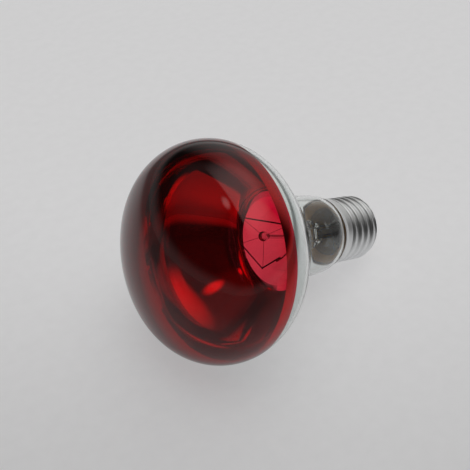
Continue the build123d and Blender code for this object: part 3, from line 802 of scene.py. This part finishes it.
# Leads: from the clamps through the press, one to the shell and one to the centre contact
side_path = clamp_run(FILAMENT_PLACES[0], FILAMENT_PLACES[1]) + [
    mount_point((0.0, LEAD_OFFSET), PRESS_DEPTH - LEAD_RISE),
    mount_point((0.0, LEAD_OFFSET), SIDE_JOINT[0]),
    mount_point((0.0, SIDE_JOINT[1] - SEAM), SIDE_JOINT[0])]
turn_depth = EXHAUST_END + EXHAUST_RADIUS
centre_path = clamp_run(FILAMENT_PLACES[-1], FILAMENT_PLACES[-2]) + [
    mount_point((0.0, -LEAD_OFFSET), PRESS_DEPTH - LEAD_RISE),
    mount_point((0.0, -LEAD_OFFSET), turn_depth),
    mount_point((0.0, 0.0), turn_depth + LEAD_OFFSET + LEAD_RETURN),
    mount_point((0.0, 0.0), CONTACT_DEPTH)]
for node_name, path in (("side_lead", side_path), ("centre_lead", centre_path)):
    bent = [Vector(p) for p in rounded(path, (LEAD_BEND * MM,) * (len(path) - 2), 9.0)]
    settle(wire(f"{node_name}_wire", bent, LEAD_RADIUS, lead_wire, sides=16), "lead_wire", node_name)


def hook_path(before, hook, after):
    """A support's line from the bead to a corner of the filament, with a loop round the coil there."""
    towards = (Vector(before) - Vector(hook)).normalized()
    onwards = (Vector(after) - Vector(hook)).normalized()
    inwards = (towards + onwards).normalized()
    corner = Vector(hook) + inwards * COIL_BEND * (1 / sin(towards.angle(onwards) / 2) - 1)
    side = Vector((-inwards.y, inwards.x))
    loop = SUPPORT_DEPTH - FILAMENT_DEPTH
    reach = (corner - Vector(BEAD_PLACE)).normalized()
    path = [mount_point(Vector(BEAD_PLACE) + reach * SUPPORT_ROOT, SUPPORT_DEPTH)]
    for i in range(LOOP_STEPS + 1):
        turn = 2 * pi * LOOP_TURNS * i / LOOP_STEPS
        place = corner - inwards * loop * sin(turn) + side * LOOP_PITCH * turn / (2 * pi)
        path.append(mount_point(place, FILAMENT_DEPTH + loop * cos(turn)))
    return path


for number in range(1, 5):
    path = hook_path(*FILAMENT_PLACES[number - 1 : number + 2])
    hook_wire = wire(f"hook_wire_{number}", path, SUPPORT_RADIUS, support_wire)
    settle(hook_wire, "support_wire", f"support_wire_{number}")


def filament_coil():
    """The coil's turns along the filament's line, drawn coarser than the real ones so that they show."""
    line = divided(rounded(FILAMENT_PLACES, (COIL_BEND,) * 4, 15.0), COIL_PITCH / 10)
    path, travelled = [], 0.0
    for (x_1, y_1), (x_2, y_2) in zip(line, line[1:]):
        run = hypot(x_2 - x_1, y_2 - y_1)
        across = (-(y_2 - y_1) / run, (x_2 - x_1) / run)
        turn = 2 * pi * travelled / COIL_PITCH
        shift = COIL_RADIUS * cos(turn)
        place = (x_1 + across[0] * shift, y_1 + across[1] * shift)
        path.append(mount_point(place, FILAMENT_DEPTH + COIL_RADIUS * sin(turn)))
        travelled += run
    return wire("filament_coil", path, COIL_WIRE, tungsten, sides=4)


settle(filament_coil(), "tungsten", "filament")

# The solder inside the shell stays as modelled
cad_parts["side_solder"].data.materials.clear()
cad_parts["side_solder"].data.materials.append(solder)

# Seamless paper, matt: pale grey with a faint felt of fibres about 6 mm long, and it keeps the lamp's
# shadow. Over that lies a painted pool of light, an emission that only camera, gloss and glass rays
# see. It is brightest behind the lamp and falls off towards the front and far away, and sooner where
# gloss and glass show it.
paper, tree = bare_material("seamless_paper")
place = node(tree, "ShaderNodeTexCoord")
fibres = node(tree, "ShaderNodeTexNoise", inputs={
    "Vector": place.outputs["Object"], "Scale": 1000 / 6, "Detail": 4.0})
felt = node(tree, "ShaderNodeValToRGB", {
    "stops": ((0.3, "#b6b7b8"), (0.7, "#bbbcbd"))}, {"Fac": fibres.outputs[0]})
# Painted pool of light: the paper's emission falls off with distance from a centre behind the lamp, sooner
# and further in gloss and glass
away = node(tree, "ShaderNodeVectorMath", {"operation": "DISTANCE"}, {
    0: place.outputs["Object"], 1: LIGHT_POOL_PLACE})
mirrored_light_pool = node(tree, "ShaderNodeMapRange", {"interpolation_type": "SMOOTHSTEP"}, {
    "Value": away.outputs["Value"], "From Min": MIRRORED_FADE[0], "From Max": MIRRORED_FADE[1],
    "To Min": PAPER_LIGHT, "To Max": MIRRORED_FAR_LIGHT})
rays = node(tree, "ShaderNodeLightPath")
# The same painted pool of light, as the camera sees it
seen_light_pool = node(tree, "ShaderNodeMapRange", {"interpolation_type": "SMOOTHSTEP"}, {
    "Value": away.outputs["Value"], "From Min": SEEN_FADE[0], "From Max": SEEN_FADE[1],
    "To Min": PAPER_LIGHT, "To Max": SEEN_FAR_LIGHT})
mirrored = node(tree, "ShaderNodeMath", {"operation": "ADD", "use_clamp": True}, {
    0: rays.outputs["Is Glossy Ray"], 1: rays.outputs["Is Transmission Ray"]})
shown = node(tree, "ShaderNodeMath", {"operation": "MULTIPLY"}, {
    0: mirrored.outputs[0], 1: mirrored_light_pool.outputs[0]})
lift = node(tree, "ShaderNodeMath", {"operation": "MULTIPLY_ADD"}, {
    0: rays.outputs["Is Camera Ray"], 1: seen_light_pool.outputs[0], 2: shown.outputs[0]})
# The painted pool of light is the paper's emission
shader = node(tree, "ShaderNodeBsdfPrincipled", inputs={
    "Base Color": felt.outputs[0], "Roughness": 0.9, "Emission Color": linear("#fdfcfd"),
    "Emission Strength": lift.outputs[0]})
node(tree, "ShaderNodeOutputMaterial", inputs={"Surface": shader.outputs[0]})
floor_sides = ((-1, -1), (1, -1), (1, 1), (-1, 1))
floor_corners = [Vector((x, y, 0.0)) * PAPER_HALF for x, y in floor_sides]
piece_from("floor", floor_corners, [(0, 1, 2, 3)], paper)


def studio():
    """A dim room: a soft panel overhead with one straight edge, a spot beside it, and paler walls."""
    world = bpy.data.worlds.new("studio")
    world.use_nodes = True
    tree = world.node_tree
    tree.nodes.clear()
    coords = node(tree, "ShaderNodeTexCoord")
    split = node(tree, "ShaderNodeSeparateXYZ", inputs={0: coords.outputs["Generated"]})
    height = node(tree, "ShaderNodeMath", {"operation": "MAXIMUM"}, {0: split.outputs["Z"], 1: 0.02})
    x = node(tree, "ShaderNodeMath", {"operation": "DIVIDE"}, {
        0: split.outputs["X"], 1: height.outputs[0]})
    y = node(tree, "ShaderNodeMath", {"operation": "DIVIDE"}, {
        0: split.outputs["Y"], 1: height.outputs[0]})
    sky = node(tree, "ShaderNodeCombineXYZ", inputs={"X": x.outputs[0], "Y": y.outputs[0]})
    slant = node(tree, "ShaderNodeMath", {"operation": "MULTIPLY_ADD"}, {
        0: y.outputs[0], 1: PANEL_SLANT, 2: x.outputs[0]})
    edge = node(tree, "ShaderNodeMapRange", {"interpolation_type": "SMOOTHSTEP"}, {
        "Value": slant.outputs[0], "From Min": PANEL_EDGE[0], "From Max": PANEL_EDGE[1]})
    middle = node(tree, "ShaderNodeVectorMath", {"operation": "DISTANCE"}, {
        0: sky.outputs[0], 1: PANEL_MIDDLE})
    fade = node(tree, "ShaderNodeMapRange", {"interpolation_type": "SMOOTHERSTEP"}, {
        "Value": middle.outputs["Value"], "From Min": PANEL_FADE[0], "From Max": PANEL_FADE[1],
        "To Min": PANEL_LIGHT, "To Max": 0.0})
    panel = node(tree, "ShaderNodeMath", {"operation": "MULTIPLY"}, {
        0: edge.outputs[0], 1: fade.outputs[0]})
    beside = node(tree, "ShaderNodeVectorMath", {"operation": "DISTANCE"}, {
        0: sky.outputs[0], 1: SPOT_PLACE})
    spot = node(tree, "ShaderNodeMapRange", {"interpolation_type": "SMOOTHERSTEP"}, {
        "Value": beside.outputs["Value"], "From Min": SPOT_FADE[0], "From Max": SPOT_FADE[1],
        "To Min": SPOT_LIGHT, "To Max": ROOM_LIGHT})
    light = node(tree, "ShaderNodeMath", {"operation": "ADD"}, {0: panel.outputs[0], 1: spot.outputs[0]})
    for direction, reach, strength in WALL_PATCHES:
        towards = node(tree, "ShaderNodeVectorMath", {"operation": "DOT_PRODUCT"}, {
            0: coords.outputs["Generated"], 1: direction})
        patch = node(tree, "ShaderNodeMapRange", {"interpolation_type": "SMOOTHSTEP"}, {
            "Value": towards.outputs["Value"], "From Min": reach, "From Max": PATCH_CORE,
            "To Min": 0.0, "To Max": strength})
        light = node(tree, "ShaderNodeMath", {"operation": "ADD"}, {
            0: light.outputs[0], 1: patch.outputs[0]})
    rays = node(tree, "ShaderNodeLightPath")
    seen = rays.outputs["Is Camera Ray"]
    for kind in ("Is Glossy Ray", "Is Transmission Ray"):
        either = node(tree, "ShaderNodeMath", {"operation": "MAXIMUM"}, {0: seen, 1: rays.outputs[kind]})
        seen = either.outputs[0]
    skyline = node(tree, "ShaderNodeMapRange", {"interpolation_type": "SMOOTHSTEP"}, {
        "Value": split.outputs["Z"], "From Min": BACKDROP_FADE[0], "From Max": BACKDROP_FADE[1],
        "To Min": BACKDROP_LIGHT, "To Max": 0.0})
    backdrop = node(tree, "ShaderNodeMath", {"operation": "MULTIPLY_ADD"}, {
        0: seen, 1: skyline.outputs[0], 2: light.outputs[0]})
    background = node(tree, "ShaderNodeBackground", inputs={
        "Color": linear("#fffefc"), "Strength": backdrop.outputs[0]})
    node(tree, "ShaderNodeOutputWorld", inputs={"Surface": background.outputs[0]})
    bpy.context.scene.world = world


studio()

# Key light: a wide soft box overhead that lights the paper and the dull pieces. It isn't seen in
# the gloss, where the panel shows instead.
key = bpy.data.lights.new("key", "AREA")
key.shape = "SQUARE"
key.size = KEY_SIZE
key.energy = KEY_LIGHT
key_lamp = bpy.data.objects.new("key", key)
key_lamp.location = KEY_PLACE
key_lamp.rotation_euler = (KEY_AIM - KEY_PLACE).to_track_quat("-Z", "Y").to_euler()
key_lamp.visible_glossy = False
key_lamp.visible_transmission = False
bpy.context.scene.collection.objects.link(key_lamp)

# Camera: above and to the left of the dome, looking down on the lamp
lens = bpy.data.cameras.new("camera")
lens.lens = LENS
lens.sensor_width = SENSOR_WIDTH
camera = bpy.data.objects.new("camera", lens)
bpy.context.scene.collection.objects.link(camera)
level = cos(CAMERA_ELEVATION)
back = Vector((sin(CAMERA_AZIMUTH) * level, -cos(CAMERA_AZIMUTH) * level, sin(CAMERA_ELEVATION)))
stand = Matrix.Translation(CAMERA_PLACE * MM)
camera.matrix_world = stand @ back.to_track_quat("Z", "Y").to_matrix().to_4x4()
bpy.context.scene.camera = camera

bpy.context.scene.view_settings.view_transform = "Standard"
